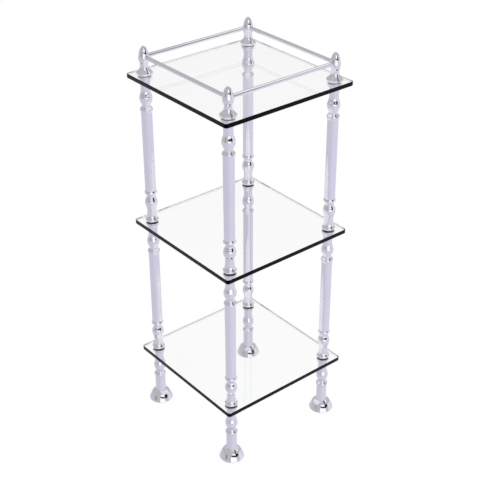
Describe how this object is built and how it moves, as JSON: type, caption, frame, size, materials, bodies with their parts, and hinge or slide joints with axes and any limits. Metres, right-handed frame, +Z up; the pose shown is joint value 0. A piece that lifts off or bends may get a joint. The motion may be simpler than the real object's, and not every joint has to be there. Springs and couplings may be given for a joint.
{
  "type": "three-tier etagere",
  "caption": "Free-standing etagere with square clear glass shelves on turned chromed posts with domed feet, acorn finials and a gallery rail round the top shelf.",
  "frame": {"origin": "on the floor, under the centre of the shelves", "axes": "+Z up, -Y to the front, +X to the right"},
  "size_m": [0.3556, 0.3556, 0.9652],
  "materials": {
    "polished_chrome": "mirror polished chrome plate",
    "clear_glass": "clear, polished edges",
    "black_rubber": "smooth black",
    "plain_steel": "plain"
  },
  "bodies": {
    "root": {"bottom_shelf": "clear_glass", "bottom_bushings": "black_rubber", "bottom_studs": "plain_steel", "middle_shelf": "clear_glass", "middle_bushings": "black_rubber", "middle_studs": "plain_steel", "top_shelf": "clear_glass", "top_bushings": "black_rubber", "top_studs": "plain_steel", "front_rail": "polished_chrome", "right_rail": "polished_chrome", "back_rail": "polished_chrome", "left_rail": "polished_chrome", "front_left_foot": "polished_chrome", "front_left_leg_tube": "polished_chrome", "front_left_leg_baluster": "polished_chrome", "front_left_lower_base_baluster": "polished_chrome", "front_left_lower_tube": "polished_chrome", "front_left_lower_top_baluster": "polished_chrome", "front_left_upper_base_baluster": "polished_chrome", "front_left_upper_tube": "polished_chrome", "front_left_upper_top_baluster": "polished_chrome", "front_left_finial": "polished_chrome", "front_right_foot": "polished_chrome", "front_right_leg_tube": "polished_chrome", "front_right_leg_baluster": "polished_chrome", "front_right_lower_base_baluster": "polished_chrome", "front_right_lower_tube": "polished_chrome", "front_right_lower_top_baluster": "polished_chrome", "front_right_upper_base_baluster": "polished_chrome", "front_right_upper_tube": "polished_chrome", "front_right_upper_top_baluster": "polished_chrome", "front_right_finial": "polished_chrome", "back_right_foot": "polished_chrome", "back_right_leg_tube": "polished_chrome", "back_right_leg_baluster": "polished_chrome", "back_right_lower_base_baluster": "polished_chrome", "back_right_lower_tube": "polished_chrome", "back_right_lower_top_baluster": "polished_chrome", "back_right_upper_base_baluster": "polished_chrome", "back_right_upper_tube": "polished_chrome", "back_right_upper_top_baluster": "polished_chrome", "back_right_finial": "polished_chrome", "back_left_foot": "polished_chrome", "back_left_leg_tube": "polished_chrome", "back_left_leg_baluster": "polished_chrome", "back_left_lower_base_baluster": "polished_chrome", "back_left_lower_tube": "polished_chrome", "back_left_lower_top_baluster": "polished_chrome", "back_left_upper_base_baluster": "polished_chrome", "back_left_upper_tube": "polished_chrome", "back_left_upper_top_baluster": "polished_chrome", "back_left_finial": "polished_chrome"}
  },
  "joints": []
}
